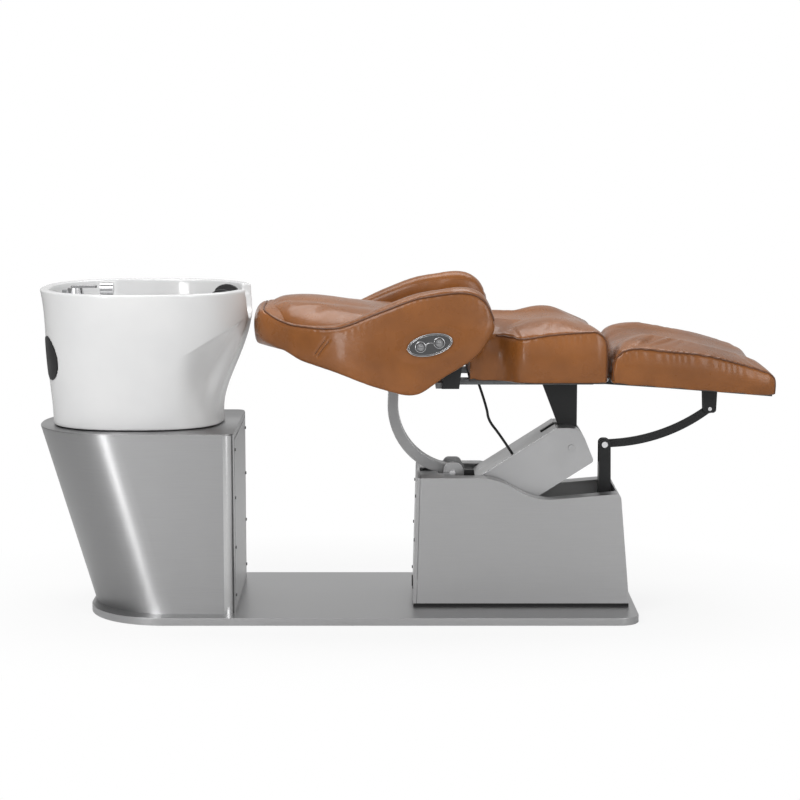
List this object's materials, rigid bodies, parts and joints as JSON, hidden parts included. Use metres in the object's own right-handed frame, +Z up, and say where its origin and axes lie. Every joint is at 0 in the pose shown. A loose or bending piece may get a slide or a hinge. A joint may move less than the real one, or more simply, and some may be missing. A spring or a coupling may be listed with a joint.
{
  "type": "electric shampoo unit",
  "caption": "Powered reclining salon shampoo chair with leather cushions and a ceramic wash basin on a steel pedestal, both on one floor plate.",
  "frame": {"origin": "on the floor under the centre of the base plate", "axes": "+X along the plate to the foot end, +Y to the sitter's left, +Z up"},
  "size_m": [1.904, 0.6108, 0.8743],
  "materials": {
    "plate_steel": "satin",
    "brushed_steel": "brushed",
    "chrome": "polished",
    "ceramic": "gloss",
    "black_rubber": "matte",
    "black_plastic": "matte",
    "grey_plastic": "satin",
    "silver_paint": "satin",
    "dark_paint": "satin",
    "grey_paint": "satin",
    "leather": "semi gloss",
    "board": "painted black",
    "button_chrome": "polished"
  },
  "bodies": {
    "base": {"base_cover": "plate_steel", "base_plate": "plate_steel", "base_seal": "black_rubber", "basin": "ceramic", "basin_gasket": "black_rubber", "basin_rear_cap": "black_plastic", "bottle_trap": "grey_plastic", "chair_base_end_panel": "brushed_steel", "chair_base_shell": "brushed_steel", "chassis": "dark_paint", "chassis_pins": "chrome", "control_box": "black_plastic", "corner_trims": "chrome", "drain_strainer": "chrome", "end_panel_screws": "chrome", "hose_guide": "grey_plastic", "leg_stanchion": "dark_paint", "limit_switch": "black_plastic", "mains_inlet": "black_plastic", "mixer_body": "chrome", "neck_rest": "black_rubber", "panel_screws": "chrome", "pedestal_deck": "brushed_steel", "pedestal_front_panel": "brushed_steel", "pedestal_shell": "brushed_steel", "shower_holder": "chrome"},
    "lift_arm": {"lift_arm_housing": "silver_paint", "lift_arm_lid": "silver_paint", "lift_arm_pins": "chrome", "control_cord": "black_rubber"},
    "seat": {"seat_post": "dark_paint", "seat_frame": "grey_paint", "seat_hinge_plates": "grey_paint", "seat_pins": "chrome", "seat_board": "board", "seat_cushion": "leather"},
    "back": {"back_board": "board", "back_frame": "grey_paint", "back_link_lugs": "dark_paint", "back_link_top_pin": "chrome", "back_cushion": "leather", "right_armrest": "leather", "left_armrest": "leather", "panel_bezel": "chrome", "panel_face": "grey_plastic"},
    "leg_rest": {"legrest_board": "board", "legrest_rails": "dark_paint", "legrest_bracket": "dark_paint", "legrest_bolts": "chrome", "legrest_cushion": "leather"},
    "back_link": {"back_link": "brushed_steel"},
    "leg_link": {"leg_link": "dark_paint"},
    "level_links": {"level_links": "dark_paint"},
    "drive": {"drive_motor": "black_plastic"},
    "drive_rod": {"drive_rod": "chrome"},
    "recline_button": {"recline_button": "button_chrome"},
    "raise_button": {"raise_button": "button_chrome"},
    "mixer_cap": {"mixer_cap": "chrome"},
    "mixer_lever": {"mixer_lever": "chrome"},
    "shower_handset": {"shower_handset": "grey_plastic"}
  },
  "joints": [
    {"name": "lift", "type": "hinge", "parent": "base", "child": "lift_arm", "pos_m": [0.303, 0, 0.306], "axis": [0, 1, 0], "range_deg": [0, 37]},
    {"name": "seat_level", "type": "hinge", "parent": "lift_arm", "child": "seat", "pos_m": [0.548, 0, 0.432], "axis": [0, 1, 0], "range_deg": [-37.05, 0.05], "deforming": ["control_cord"]},
    {"name": "back_recline", "type": "hinge", "parent": "seat", "child": "back", "pos_m": [0.25, 0, 0.742], "axis": [0, 1, 0], "range_deg": [-0.05, 54.6]},
    {"name": "leg_fold", "type": "hinge", "parent": "seat", "child": "leg_rest", "pos_m": [0.637, 0, 0.612], "axis": [0, 1, 0], "range_deg": [-0.05, 57.5]},
    {"name": "back_link_swing", "type": "hinge", "parent": "base", "child": "back_link", "pos_m": [0.237, 0, 0.36], "axis": [0, 1, 0], "range_deg": [-0.05, 2.4]},
    {"name": "leg_link_swing", "type": "hinge", "parent": "base", "child": "leg_link", "pos_m": [0.641, 0, 0.43], "axis": [0, 1, 0], "range_deg": [-0.05, 88.8]},
    {"name": "level_link_swing", "type": "hinge", "parent": "base", "child": "level_links", "pos_m": [0.311, 0, 0.262], "axis": [0, 1, 0], "range_deg": [-0.05, 37.05]},
    {"name": "drive_swing", "type": "hinge", "parent": "base", "child": "drive", "pos_m": [0.205, 0, 0.078], "axis": [0, 1, 0], "range_deg": [-0.05, 10.85]},
    {"name": "drive_draw", "type": "slide", "parent": "drive", "child": "drive_rod", "axis": [-0.6897, 0, -0.7241], "range_m": [-0.0001, 0.0704]},
    {"name": "recline_press", "type": "slide", "parent": "back", "child": "recline_button", "axis": [0, 1, 0], "range_m": [0, 0.0025], "stiffness_N_per_m": 500},
    {"name": "raise_press", "type": "slide", "parent": "back", "child": "raise_button", "axis": [0, 1, 0], "range_m": [0, 0.0025], "stiffness_N_per_m": 500},
    {"name": "mixer_swivel", "type": "hinge", "parent": "base", "child": "mixer_cap", "pos_m": [-0.757, 0, 0.8283], "axis": [0, 0, 1], "range_deg": [-45, 45]},
    {"name": "mixer_tilt", "type": "hinge", "parent": "mixer_cap", "child": "mixer_lever", "pos_m": [-0.765, 0, 0.8476], "axis": [0, -1, 0], "range_deg": [0, 25]},
    {"name": "handset_lift", "type": "slide", "parent": "base", "child": "shower_handset", "axis": [0, 0, 1], "range_m": [0, 0.15]}
  ],
  "couplings": [
    {"joint": "seat_level", "follows": "lift", "ratio": -1},
    {"joint": "back_recline", "follows": "lift", "ratio": 1.4736},
    {"joint": "leg_fold", "follows": "lift", "ratio": 1.5518},
    {"joint": "back_link_swing", "follows": "lift", "ratio": 0.063135},
    {"joint": "leg_link_swing", "follows": "lift", "ratio": 2.3977},
    {"joint": "level_link_swing", "follows": "lift", "ratio": 1},
    {"joint": "drive_swing", "follows": "lift", "ratio": 0.29174},
    {"joint": "drive_draw", "follows": "lift", "m_per_rad": 0.10875}
  ]
}
